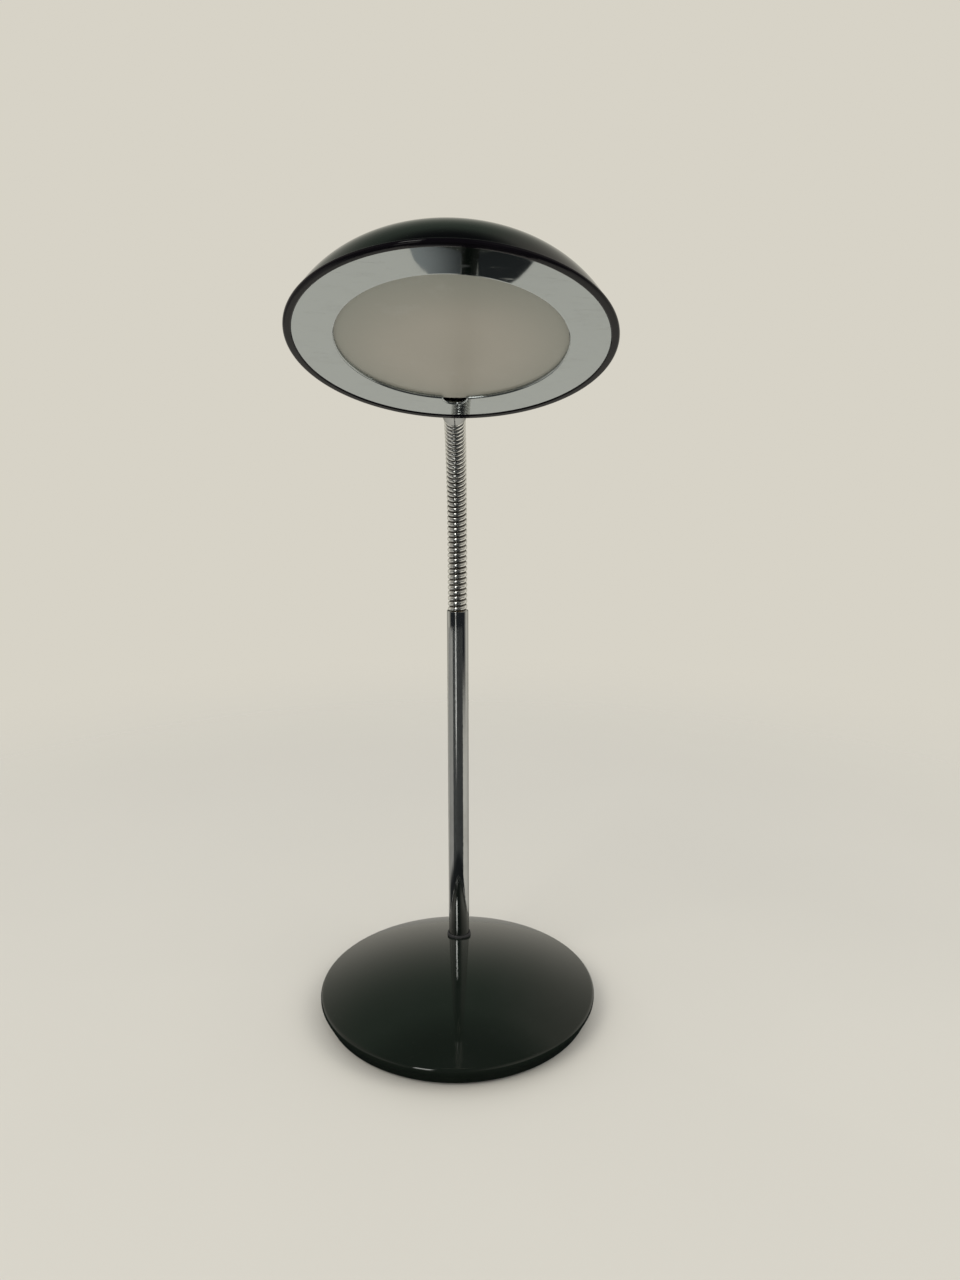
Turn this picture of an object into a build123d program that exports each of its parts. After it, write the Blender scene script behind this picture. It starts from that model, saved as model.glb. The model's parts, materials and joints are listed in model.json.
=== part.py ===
from build123d import *
import os
from math import cos, radians, sin, sqrt, tan

os.makedirs("parts", exist_ok=True)

# A desk lamp: a heavy round foot, an upright chrome tube, a ribbed gooseneck and
# a mushroom-shaped head. Lengths are in millimetres and angles in degrees.
# The origin is the centre of the underside, +Z is up and the head looks towards -Y.

# Foot
foot_radius = 90.0
foot_top_height = 28.5
foot_edge_height = 13.0
foot_band_height = 3.0
foot_undercut = 4.0
foot_wall = 1.2
foot_edge_round = 2.4
foot_band_round = 2.0
pad_thickness = 2.0
pad_inset = 1.2
cover_thickness = 1.5
cover_clearance = 0.2

# Ballast under the foot's shell
ballast_inset = 10.0
ballast_thickness = 9.0
boss_radius = 17.0
boss_clearance = 0.3
cable_slot_width = 8.0
terminal_pocket_width = 22.0
terminal_pocket_gap = 10.3
cover_screw_count = 4
cover_screw_circle_radius = 56.0
cover_screw_radius = 2.0
cover_screw_length = 8.0
cover_screw_head_radius = 3.6
screw_clearance = 0.1

# Upright tube and its fixing in the foot
stem_y = 41.0
stem_radius = 7.0
stem_wall = 1.2
stem_top_height = 257.6
stem_seat_height = 17.6
stem_top_round = 0.4
stem_clearance = 0.15
insert_length = 20.0
insert_radius = 5.0
insert_bore_radius = 3.6
insert_end_height = 9.0
insert_clearance = 0.05
nut_width = 17.0
nut_thickness = 4.8
nut_thread_clearance = 0.05
washer_radius = 9.5
washer_thickness = 1.2
recess_radius = 11.5
seat_web = 2.0
seal_radius = 8.1
seal_stand = 2.6
seal_round = 1.0
seal_clearance = 0.05
seal_gap = 0.1

# Cable inlet at the back of the foot
inlet_height = 7.7
inlet_radius = 3.9
inlet_bore_radius = 3.0
inlet_length = 11.0
inlet_setback = 0.4
inlet_clearance = 0.1
terminal_width = 16.0
terminal_depth = 12.0
terminal_height = 7.0
terminal_screw_spacing = 8.0
terminal_hole_radius = 1.6
lead_radius = 2.3
lead_bend_radius = 5.0
lead_height = 6.2
end_gap = 0.3

# Gooseneck: links of whole ribs, one hinge between each link and the next
link_count = 20
ribs_per_link = 2
rib_pitch = 3.52
rib_crest_radius = 6.3
rib_valley_radius = 5.5
rib_crest_width = 1.2
neck_bore_radius = 4.0
neck_sides = 20
straight_link_count = 5
neck_total_bend = 60.2
hinge_swing = 6.0
hinge_clearance = 0.05
socket_length = 22.0
socket_bore_radius = 3.9

# Head, in its own frame: origin at the centre of the rim, y to the back, z to the crown
head_tilt = 25.0
head_side_lean = 0.9
head_side_shift = 1.2
neck_end_from_rim = 13.4
neck_end_above_rim = 6.7
rim_overhang = 1.0
rim_width = 3.9
rim_height = 2.2
rim_round = 1.4
rim_inner_round = 0.6
shade_radius = 78.5
shade_height = 38.1
shade_seat_height = 0.4
crown_radius = 148.0
crown_edge_angle = 17.2
shade_wall = 1.2
mirror_clearance = 0.15
mirror_recess = 0.5
mirror_thickness = 0.8
mirror_ring_width = 19.45
mirror_lip = 0.8
notch_radius = 6.2
glass_overlap = 2.5
glass_thickness = 3.0

# Clips that hold the glass down on the mirror plate
clip_count = 3
clip_width = 8.0
clip_thickness = 0.6
clip_grip = 4.0
clip_foot = 8.0
clip_gap = 0.1
clip_first_angle = -90.0
clip_screw_radius = 1.4
clip_screw_head_radius = 2.6
clip_screw_head_height = 1.6
clip_screw_depth = 0.6

# Reflector dish over the bulb
dish_overhang = 1.5
dish_rim_height = 6.4
dish_crown_height = 24.5
dish_thickness = 0.6
dish_slot_width = 27.0
dish_slot_start = 12.0
dish_wall_gap = 0.25

# Fixing of the head on the neck, measured along the neck's last direction
collar_radius = 7.0
collar_chamfer = 0.5
collar_gap = 0.1
stud_radius = 4.0
stud_bore_radius = 2.8
stud_inset = 6.0
stud_clearance = 0.1
stud_tail = 2.0
block_end = 29.5
block_width = 22.0
block_drop = 6.3
block_rise = 6.0
block_wall_gap = 0.1
bracket_thickness = 1.2
bracket_height = 9.0
bracket_arm_height = 7.0
bracket_reach = 33.5
stud_nut_width = 12.0
stud_nut_thickness = 4.3

# Bulb and its holder
holder_start = 51.0
holder_length = 13.0
holder_width = 17.0
holder_height = 11.0
holder_chamfer = 1.0
bulb_radius = 6.0
bulb_length = 44.0
bulb_end_chamfer = 3.0
bulb_base_length = 6.0
bulb_base_width = 9.0
bulb_base_height = 5.0

# Push switch in the crown
switch_thread_radius = 6.0
switch_thread_stand = 1.2
switch_body_radius = 7.2
switch_body_depth = 11.0
switch_clearance = 0.1
switch_lead_radius = 1.5
switch_lead_bend_radius = 5.0
switch_lead_drop = 9.5
switch_lead_inset = 3.0
bezel_radius = 8.6
bezel_height = 1.6
bezel_chamfer = 0.5
button_radius = 4.8
button_clearance = 0.2
button_stand = 3.2
button_travel = 2.0
button_depth = 4.0
button_round = 0.8


def save(built, name):
    """Label a finished piece and write it."""
    built.part.label = name
    export_step(built.part, f"parts/{name}.step")


# Heights and radii that follow from the sizes above
foot_lower_radius = foot_radius - foot_undercut
ballast_radius = foot_radius - ballast_inset
inlet_end = foot_radius - inlet_setback
terminal_front = inlet_end - inlet_length - end_gap - terminal_depth
terminal_pocket_start = terminal_front - terminal_pocket_gap
cover_top = pad_thickness + cover_thickness
foot_dome_rise = foot_top_height - foot_edge_height
foot_dome_radius = (foot_radius**2 + foot_dome_rise**2) / (2 * foot_dome_rise)
foot_dome_centre = foot_top_height - foot_dome_radius
cover_radius = foot_lower_radius - foot_wall - cover_clearance
ballast_top = cover_top + ballast_thickness
boss_reach = stem_y + boss_radius
boss_top = foot_dome_centre + sqrt((foot_dome_radius - foot_wall) ** 2 - boss_reach**2) - boss_clearance
dome_at_stem = foot_dome_centre + sqrt(foot_dome_radius**2 - stem_y**2)
seal_top = dome_at_stem + seal_stand
stem_inner_radius = stem_radius - stem_wall
insert_top = stem_seat_height + insert_length
recess_top = stem_seat_height - seat_web
washer_bottom = recess_top - washer_thickness
nut_bottom = washer_bottom - nut_thickness

stem_here = (0, stem_y)

# Felt pad under the foot
with BuildPart() as foot_pad:
    with BuildSketch():
        Circle(cover_radius - pad_inset)
    extrude(amount=pad_thickness)
save(foot_pad, "foot_pad")

# Cover plate that closes the underside
with BuildPart() as foot_cover:
    with BuildSketch(Plane.XY.offset(pad_thickness)):
        Circle(cover_radius)
    extrude(amount=cover_thickness)
    with PolarLocations(cover_screw_circle_radius, cover_screw_count, start_angle=45):
        with Locations(Location((0, 0, pad_thickness), (180, 0, 0))):
            CounterSinkHole(
                radius=cover_screw_radius + screw_clearance,
                counter_sink_radius=cover_screw_head_radius + screw_clearance,
                depth=cover_thickness,
            )
save(foot_cover, "foot_cover")

# Screws that hold the cover to the ballast
with BuildPart() as cover_screws:
    with PolarLocations(cover_screw_circle_radius, cover_screw_count, start_angle=45):
        with Locations((0, 0, pad_thickness)):
            Cone(
                cover_screw_head_radius,
                cover_screw_radius,
                cover_screw_head_radius - cover_screw_radius,
                align=(Align.CENTER, Align.CENTER, Align.MIN),
            )
            Cylinder(
                cover_screw_radius,
                cover_screw_length,
                align=(Align.CENTER, Align.CENTER, Align.MIN),
            )
save(cover_screws, "cover_screws")

# Cast ballast disc with a boss that carries the stem
with BuildPart() as ballast:
    with BuildSketch(Plane.XY.offset(cover_top)):
        Circle(ballast_radius)
    extrude(amount=ballast_thickness)
    with BuildSketch(Plane.XY.offset(ballast_top)):
        with Locations(stem_here):
            Circle(boss_radius)
    extrude(amount=boss_top - ballast_top)
    # seat of the tube, passage of the insert and recess of the nut
    with BuildSketch(Plane.XY.offset(stem_seat_height)):
        with Locations(stem_here):
            Circle(stem_radius + stem_clearance)
    extrude(amount=boss_top - stem_seat_height, mode=Mode.SUBTRACT)
    with BuildSketch(Plane.XY.offset(recess_top)):
        with Locations(stem_here):
            Circle(insert_radius + stem_clearance)
    extrude(amount=stem_seat_height - recess_top, mode=Mode.SUBTRACT)
    with BuildSketch(Plane.XY.offset(cover_top)):
        with Locations(stem_here):
            Circle(recess_radius)
    extrude(amount=recess_top - cover_top, mode=Mode.SUBTRACT)
    # slot for the lead and pocket for the terminal block
    with BuildSketch(Plane.XY.offset(cover_top)):
        with Locations((0, stem_y)):
            Rectangle(cable_slot_width, ballast_radius, align=(Align.CENTER, Align.MIN))
        with Locations((0, terminal_pocket_start)):
            Rectangle(terminal_pocket_width, ballast_radius, align=(Align.CENTER, Align.MIN))
    extrude(amount=ballast_thickness, mode=Mode.SUBTRACT)
    with PolarLocations(cover_screw_circle_radius, cover_screw_count, start_angle=45):
        with Locations((0, 0, cover_top)):
            Cylinder(
                cover_screw_radius + screw_clearance,
                cover_screw_length,
                align=(Align.CENTER, Align.CENTER, Align.MIN),
                mode=Mode.SUBTRACT,
            )
save(ballast, "ballast")

# Domed shell of the foot
with BuildPart() as foot_shell:
    with BuildSketch(Plane.XZ) as shell_section:
        with BuildLine():
            dome = Line((0, foot_top_height), (0, pad_thickness))
            Line(dome @ 1, (foot_lower_radius, pad_thickness))
            Line((foot_lower_radius, pad_thickness), (foot_radius, foot_edge_height - foot_band_height))
            Line((foot_radius, foot_edge_height - foot_band_height), (foot_radius, foot_edge_height))
            RadiusArc((foot_radius, foot_edge_height), dome @ 0, -foot_dome_radius)
        make_face()
        edge = shell_section.vertices().group_by(Axis.X)[-1].sort_by(Axis.Y)
        fillet(edge[-1], foot_edge_round)
        fillet(shell_section.vertices().group_by(Axis.X)[-1].sort_by(Axis.Y)[0], foot_band_round)
    revolve(axis=Axis.Z)
    underside = foot_shell.faces().sort_by(Axis.Z)[0]
    offset(amount=-foot_wall, openings=underside)
    with BuildSketch(Plane.XY.offset(boss_top)):
        with Locations(stem_here):
            Circle(stem_radius + stem_clearance)
    extrude(amount=foot_top_height, mode=Mode.SUBTRACT)
    with BuildSketch(Plane.XZ.offset(-ballast_radius)):
        with Locations((0, inlet_height)):
            Circle(inlet_radius + inlet_clearance)
    extrude(amount=-foot_radius, mode=Mode.SUBTRACT)
save(foot_shell, "foot_shell")

# Rubber sleeve that lines the cable inlet
with BuildPart() as cable_inlet:
    with BuildSketch(Plane.XZ.offset(-inlet_end)):
        with Locations((0, inlet_height)):
            Circle(inlet_radius)
            Circle(inlet_bore_radius, mode=Mode.SUBTRACT)
    extrude(amount=inlet_length)
save(cable_inlet, "cable_inlet")

# Terminal block that joins the mains cord to the lead in the stem
with BuildPart() as terminal_block:
    with Locations((0, terminal_front, cover_top)):
        Box(
            terminal_width,
            terminal_depth,
            terminal_height,
            align=(Align.CENTER, Align.MIN, Align.MIN),
        )
    with Locations((0, terminal_front + terminal_depth / 2, cover_top + terminal_height)):
        with GridLocations(terminal_screw_spacing, 1, 2, 1):
            Hole(terminal_hole_radius, depth=terminal_height / 2)
save(terminal_block, "terminal_block")

# Lead from the terminal block up through the stem
with BuildPart() as stem_lead:
    with BuildLine() as lead_path:
        FilletPolyline(
            (0, terminal_front - end_gap, lead_height),
            (0, stem_y, lead_height),
            (0, stem_y, stem_top_height),
            radius=lead_bend_radius,
        )
    with BuildSketch(Plane(origin=lead_path.line @ 0, z_dir=lead_path.line % 0)):
        Circle(lead_radius)
    sweep()
save(stem_lead, "stem_lead")

# Chrome upright tube
with BuildPart() as stem_tube:
    with BuildSketch(Plane.XY.offset(stem_seat_height)):
        with Locations(stem_here):
            Circle(stem_radius)
            Circle(stem_inner_radius, mode=Mode.SUBTRACT)
    extrude(amount=stem_top_height - stem_seat_height)
    top_edge = stem_tube.edges().group_by(Axis.Z)[-1].sort_by(SortBy.RADIUS)[-1]
    fillet(top_edge, stem_top_round)
save(stem_tube, "stem_tube")

# Rubber seal round the tube, lying on the foot's dome
with BuildPart() as stem_seal:
    with BuildSketch(Plane.XY.offset(seal_top)):
        with Locations(stem_here):
            Circle(seal_radius)
            Circle(stem_radius + seal_clearance, mode=Mode.SUBTRACT)
    extrude(amount=-3 * seal_stand)
    fillet(stem_seal.edges().group_by(Axis.Z)[-1].sort_by(SortBy.RADIUS)[-1], seal_round)
    with Locations((0, 0, foot_dome_centre)):
        Sphere(foot_dome_radius + seal_gap, mode=Mode.SUBTRACT)
save(stem_seal, "stem_seal")

# Threaded insert in the tube's lower end, with its washer and nut
with BuildPart() as stem_insert:
    with BuildSketch(Plane.XY.offset(insert_end_height)):
        with Locations(stem_here):
            Circle(insert_radius)
    extrude(amount=stem_seat_height - insert_end_height)
    with BuildSketch(Plane.XY.offset(stem_seat_height)):
        with Locations(stem_here):
            Circle(stem_inner_radius - insert_clearance)
    extrude(amount=insert_length)
    with BuildSketch(Plane.XY.offset(insert_end_height)):
        with Locations(stem_here):
            Circle(insert_bore_radius)
    extrude(amount=insert_top - insert_end_height, mode=Mode.SUBTRACT)
save(stem_insert, "stem_insert")

with BuildPart() as stem_washer:
    with BuildSketch(Plane.XY.offset(washer_bottom)):
        with Locations(stem_here):
            Circle(washer_radius)
            Circle(insert_radius + stem_clearance, mode=Mode.SUBTRACT)
    extrude(amount=washer_thickness)
save(stem_washer, "stem_washer")

with BuildPart() as stem_nut:
    with BuildSketch(Plane.XY.offset(nut_bottom)):
        with Locations(stem_here):
            RegularPolygon(nut_width / 2, 6, major_radius=False)
            Circle(insert_radius + nut_thread_clearance, mode=Mode.SUBTRACT)
    extrude(amount=nut_thickness)
save(stem_nut, "stem_nut")

# Socket in the tube's upper end, which carries the gooseneck
with BuildPart() as neck_socket:
    with BuildSketch(Plane.XY.offset(stem_top_height - socket_length)):
        with Locations(stem_here):
            Circle(stem_inner_radius - insert_clearance)
            Circle(socket_bore_radius, mode=Mode.SUBTRACT)
    extrude(amount=socket_length)
save(neck_socket, "neck_socket")

# The neck's centre line: straight links first, then an equal bend at each hinge
link_length = ribs_per_link * rib_pitch
bend_per_hinge = neck_total_bend / (link_count + 1 - straight_link_count)


def lean_of(link):
    """Angle from vertical of a link, counted from 1; one past the last is the collar."""
    return max(0, link - straight_link_count) * bend_per_hinge


def direction_of(link):
    """Unit vector along a link, leaning towards the front."""
    lean = radians(lean_of(link))
    return Vector(0, -sin(lean), cos(lean))


hinge_points = [Vector(0, stem_y, stem_top_height)]
for link in range(1, link_count + 1):
    hinge_points.append(hinge_points[-1] + direction_of(link) * link_length)
neck_end = hinge_points[-1]


def hinge_setback(hinge):
    """How far a link's end stands back from a hinge, so that it clears its neighbour."""
    kink = lean_of(hinge + 1) - lean_of(hinge)
    bends_forward = hinge % 2 == 1
    angle = kink + hinge_swing if bends_forward else sqrt(kink**2 + hinge_swing**2)
    return rib_valley_radius * tan(radians(angle / 2)) + hinge_clearance


# Gooseneck links, each with its own ribs and bore
for link in range(1, link_count + 1):
    low_end = hinge_setback(link - 1) if link > 1 else 0.0
    high_end = link_length - hinge_setback(link)
    base = Plane(hinge_points[link - 1], x_dir=(1, 0, 0), z_dir=direction_of(link))
    rings = [(low_end, rib_valley_radius)]
    for rib in range(ribs_per_link):
        middle = (rib + 0.5) * rib_pitch
        rings.append((middle - rib_crest_width / 2, rib_crest_radius))
        rings.append((middle + rib_crest_width / 2, rib_crest_radius))
        rings.append(((rib + 1) * rib_pitch, rib_valley_radius))
    rings[-1] = (high_end, rib_valley_radius)
    with BuildPart() as neck_link:
        for height, radius in rings:
            with BuildSketch(base.offset(height)):
                RegularPolygon(radius, neck_sides)
        loft(ruled=True)
        with BuildSketch(base.offset(low_end)):
            RegularPolygon(neck_bore_radius, neck_sides)
        extrude(amount=high_end - low_end, mode=Mode.SUBTRACT)
    save(neck_link, f"neck_link_{link:02d}")

# Frame of the head, worked out from where the neck ends
rim_radius = shade_radius + rim_overhang
head_centre_from_neck_end = rim_radius + neck_end_from_rim
tilt = radians(head_tilt)
side_lean = radians(head_side_lean)
to_back = Vector(0, cos(tilt), -sin(tilt))
to_crown = Vector(sin(side_lean), sin(tilt) * cos(side_lean), cos(tilt) * cos(side_lean))
to_right = to_back.cross(to_crown)
head_foot = neck_end + Vector(head_side_shift, 0, 0)
head_centre = head_foot - to_back * head_centre_from_neck_end - to_crown * neck_end_above_rim
head_plane = Plane(head_centre, x_dir=to_right, z_dir=to_crown)
head_section = Plane(head_centre, x_dir=to_right, z_dir=to_back * -1)
head_axis = Axis(head_centre, to_crown)
collar_way = direction_of(link_count + 1)


def along_collar(distance):
    """Plane across the head's fixing, at a distance from the neck's end."""
    return Plane(neck_end + collar_way * distance, x_dir=(1, 0, 0), z_dir=collar_way)


# The shade's outline is a crown arc and a tighter shoulder arc, tangent to each other
crown_edge = radians(crown_edge_angle)
crown_edge_radius = crown_radius * sin(crown_edge)
crown_edge_height = shade_height - crown_radius * (1 - cos(crown_edge))
shoulder_drop = crown_edge_height - shade_seat_height
shoulder_run = shade_radius - crown_edge_radius
shoulder_radius = (shoulder_run**2 + shoulder_drop**2) / (
    2 * (shoulder_drop * cos(crown_edge) - shoulder_run * sin(crown_edge))
)
shoulder_centre_radius = crown_edge_radius - shoulder_radius * sin(crown_edge)
shoulder_centre_height = crown_edge_height - shoulder_radius * cos(crown_edge)


def shade_radius_at(height, inset=0.0):
    """Distance from the axis to the shade's surface at a height on its shoulder."""
    up = height - shoulder_centre_height
    return shoulder_centre_radius + sqrt((shoulder_radius - inset) ** 2 - up**2)


def shade_form(inset, floor):
    """Solid under the shade's surface moved in by inset, down to a floor height."""
    crown = shade_height - inset
    turn_radius = (crown_radius - inset) * sin(crown_edge)
    turn_height = shade_height - crown_radius + (crown_radius - inset) * cos(crown_edge)
    with BuildPart() as form:
        with BuildSketch(head_section):
            with BuildLine():
                Line((0, floor), (0, crown))
                RadiusArc((0, crown), (turn_radius, turn_height), crown_radius - inset)
                RadiusArc(
                    (turn_radius, turn_height),
                    (shade_radius_at(floor, inset), floor),
                    shoulder_radius - inset,
                )
                Line((shade_radius_at(floor, inset), floor), (0, floor))
            make_face()
        revolve(axis=head_axis)
    return form.part


# Shade: a spun dome, open below, with holes for the stud and the switch
with BuildPart() as shade:
    add(shade_form(0, shade_seat_height))
    add(shade_form(shade_wall, shade_seat_height - shade_wall), mode=Mode.SUBTRACT)
    with BuildSketch(along_collar(0)):
        Circle(stud_radius + stud_clearance)
    extrude(amount=block_end, mode=Mode.SUBTRACT)
    with BuildSketch(head_plane.offset(shade_height + shade_wall)):
        Circle(switch_thread_radius + switch_clearance)
    extrude(amount=-3 * shade_wall, mode=Mode.SUBTRACT)
save(shade, "shade")

# Rolled rim under the shade, a little wider than the shade itself
rim_inner_radius = rim_radius - rim_width
rim_bottom = shade_seat_height - rim_height
with BuildPart() as shade_rim:
    with BuildSketch(head_plane.offset(rim_bottom)):
        Circle(rim_radius)
        Circle(rim_inner_radius, mode=Mode.SUBTRACT)
    extrude(amount=rim_height)
    lower_edges = shade_rim.edges().group_by(head_axis)[0].sort_by(SortBy.RADIUS)
    fillet(lower_edges[-1], rim_round)
    lower_edges = shade_rim.edges().group_by(head_axis)[0].sort_by(SortBy.RADIUS)
    fillet(lower_edges[0], rim_inner_round)
save(shade_rim, "shade_rim")

# Mirror plate: a polished ring inside the rim, with an upturned lip round its opening
mirror_bottom = rim_bottom + mirror_recess
mirror_top = mirror_bottom + mirror_thickness
mirror_radius = rim_inner_radius - mirror_clearance
mirror_opening_radius = mirror_radius - mirror_ring_width
glass_radius = mirror_opening_radius + glass_overlap
glass_bottom = mirror_top + mirror_lip
glass_top = glass_bottom + glass_thickness
clip_riser_radius = glass_radius + clip_gap
clip_foot_radius = clip_riser_radius + clip_thickness + clip_foot
clip_screw_circle = clip_foot_radius - clip_foot / 2
with BuildPart() as mirror_plate:
    with BuildSketch(head_plane.offset(mirror_bottom)):
        Circle(mirror_radius)
    extrude(amount=mirror_thickness)
    with BuildSketch(head_plane.offset(mirror_top)):
        Circle(mirror_opening_radius + mirror_thickness)
    extrude(amount=mirror_lip)
    with BuildSketch(head_plane.offset(mirror_bottom)):
        Circle(mirror_opening_radius)
        with Locations((0, mirror_opening_radius)):
            Circle(notch_radius)
    extrude(amount=mirror_thickness + mirror_lip, mode=Mode.SUBTRACT)
    with BuildSketch(head_plane.offset(mirror_top)):
        with PolarLocations(clip_screw_circle, clip_count, start_angle=clip_first_angle):
            Circle(clip_screw_radius + screw_clearance)
    extrude(amount=-clip_screw_depth, mode=Mode.SUBTRACT)
save(mirror_plate, "mirror_plate")

# Frosted glass that lies on the lip of the mirror plate
with BuildPart() as diffuser_glass:
    with BuildSketch(head_plane.offset(glass_bottom)):
        Circle(glass_radius)
    extrude(amount=glass_thickness)
save(diffuser_glass, "diffuser_glass")

# Folded clips: a foot on the mirror plate, a riser and an arm over the glass
clip_angles = [clip_first_angle + 360 / clip_count * clip for clip in range(clip_count)]
with BuildPart() as glass_clips:
    for angle in clip_angles:
        outwards = head_plane.x_dir * cos(radians(angle)) + head_plane.y_dir * sin(radians(angle))
        clip_plane = Plane(head_centre, x_dir=outwards, z_dir=outwards.cross(to_crown))
        with BuildSketch(clip_plane):
            with BuildLine():
                Polyline(
                    (clip_foot_radius, mirror_top),
                    (clip_riser_radius, mirror_top),
                    (clip_riser_radius, glass_top),
                    (clip_riser_radius - clip_grip, glass_top),
                    (clip_riser_radius - clip_grip, glass_top + clip_thickness),
                    (clip_riser_radius + clip_thickness, glass_top + clip_thickness),
                    (clip_riser_radius + clip_thickness, mirror_top + clip_thickness),
                    (clip_foot_radius, mirror_top + clip_thickness),
                    close=True,
                )
            make_face()
        extrude(amount=clip_width / 2, both=True)
    with BuildSketch(head_plane.offset(mirror_top)):
        with PolarLocations(clip_screw_circle, clip_count, start_angle=clip_first_angle):
            Circle(clip_screw_radius + screw_clearance)
    extrude(amount=clip_thickness, mode=Mode.SUBTRACT)
save(glass_clips, "glass_clips")

with BuildPart() as clip_screws:
    with BuildSketch(head_plane.offset(mirror_top - clip_screw_depth)):
        with PolarLocations(clip_screw_circle, clip_count, start_angle=clip_first_angle):
            Circle(clip_screw_radius)
    extrude(amount=clip_screw_depth + clip_thickness)
    with BuildSketch(head_plane.offset(mirror_top + clip_thickness)):
        with PolarLocations(clip_screw_circle, clip_count, start_angle=clip_first_angle):
            Circle(clip_screw_head_radius)
    extrude(amount=clip_screw_head_height)
save(clip_screws, "clip_screws")

# Reflector dish with a flat flange, slotted where the bulb's holder passes
dish_radius = glass_radius + dish_overhang
dish_rise = dish_crown_height - dish_rim_height - dish_thickness
dish_curve_radius = (dish_radius**2 + dish_rise**2) / (2 * dish_rise)
flange_radius = shade_radius_at(dish_rim_height + dish_thickness, shade_wall) - dish_wall_gap
with BuildPart() as inner_reflector:
    with BuildSketch(head_section):
        with BuildLine():
            Line((0, dish_crown_height - dish_thickness), (0, dish_crown_height))
            RadiusArc(
                (0, dish_crown_height),
                (dish_radius, dish_rim_height + dish_thickness),
                dish_curve_radius,
            )
            Polyline(
                (dish_radius, dish_rim_height + dish_thickness),
                (flange_radius, dish_rim_height + dish_thickness),
                (flange_radius, dish_rim_height),
                (dish_radius, dish_rim_height),
            )
            RadiusArc(
                (dish_radius, dish_rim_height),
                (0, dish_crown_height - dish_thickness),
                -dish_curve_radius,
            )
        make_face()
    revolve(axis=head_axis)
    with BuildSketch(head_plane):
        with Locations((0, dish_slot_start)):
            Rectangle(dish_slot_width, shade_radius, align=(Align.CENTER, Align.MIN))
    extrude(amount=shade_height, mode=Mode.SUBTRACT)
save(inner_reflector, "inner_reflector")

# Collar between the last link and the shade, fitted to the shade's surface
collar_start = hinge_setback(link_count)
with BuildPart() as neck_collar:
    with BuildSketch(along_collar(collar_start)):
        Circle(collar_radius)
    extrude(amount=block_end)
    chamfer(neck_collar.edges().group_by(Axis(neck_end, collar_way))[0], collar_chamfer)
    with BuildSketch(along_collar(collar_start)):
        Circle(neck_bore_radius)
    extrude(amount=block_end, mode=Mode.SUBTRACT)
    with BuildSketch(along_collar(stud_inset)):
        Circle(stud_radius + stud_clearance)
    extrude(amount=block_end, mode=Mode.SUBTRACT)
    add(shade_form(-collar_gap, -collar_radius), mode=Mode.SUBTRACT)
save(neck_collar, "neck_collar")

# Hollow stud from the collar into the head, with the block, bracket and nut on it
bracket_end = block_end + bracket_thickness
stud_nut_end = bracket_end + stud_nut_thickness
with BuildPart() as head_stud:
    with BuildSketch(along_collar(stud_inset)):
        Circle(stud_radius)
        Circle(stud_bore_radius, mode=Mode.SUBTRACT)
    extrude(amount=stud_nut_end + stud_tail - stud_inset)
save(head_stud, "head_stud")

with BuildPart() as wall_block:
    with BuildSketch(along_collar(block_end)):
        with Locations((0, (block_rise - block_drop) / 2)):
            Rectangle(block_width, block_rise + block_drop)
        Circle(stud_radius + stud_clearance, mode=Mode.SUBTRACT)
    extrude(amount=-block_width)
    add(shade_form(shade_wall + block_wall_gap, 0), mode=Mode.INTERSECT)
save(wall_block, "wall_block")

with BuildPart() as lamp_bracket:
    with BuildSketch(along_collar(block_end)):
        Rectangle(holder_width + 2 * bracket_thickness, bracket_height)
        Circle(stud_radius + stud_clearance, mode=Mode.SUBTRACT)
    extrude(amount=bracket_thickness)
    with BuildSketch(along_collar(block_end)):
        with GridLocations(holder_width + bracket_thickness, 1, 2, 1):
            Rectangle(bracket_thickness, bracket_arm_height)
    extrude(amount=bracket_reach)
save(lamp_bracket, "lamp_bracket")

with BuildPart() as stud_nut:
    with BuildSketch(along_collar(bracket_end)):
        RegularPolygon(stud_nut_width / 2, 6, major_radius=False)
        Circle(stud_radius + nut_thread_clearance, mode=Mode.SUBTRACT)
    extrude(amount=stud_nut_thickness)
save(stud_nut, "stud_nut")

# Ceramic holder between the bracket's arms, and the bulb in it
holder_end = holder_start + holder_length
with BuildPart() as lamp_holder:
    with BuildSketch(along_collar(holder_start)):
        Rectangle(holder_width, holder_height)
    extrude(amount=holder_length)
    long_edges = lamp_holder.edges().filter_by(Axis(neck_end, collar_way))
    chamfer(long_edges, holder_chamfer)
save(lamp_holder, "lamp_holder")

with BuildPart() as bulb:
    with BuildSketch(along_collar(holder_end)):
        Rectangle(bulb_base_width, bulb_base_height)
    extrude(amount=bulb_base_length)
    with BuildSketch(along_collar(holder_end + bulb_base_length)):
        Circle(bulb_radius)
    extrude(amount=bulb_length - bulb_base_length)
    chamfer(bulb.edges().group_by(Axis(neck_end, collar_way))[-1], bulb_end_chamfer)
save(bulb, "bulb")

# Lead from the neck through the stud to the holder
lead_start = collar_start + end_gap
with BuildPart() as head_lead:
    with BuildSketch(along_collar(lead_start)):
        Circle(lead_radius)
    extrude(amount=holder_start - end_gap - lead_start)
save(head_lead, "head_lead")

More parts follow.
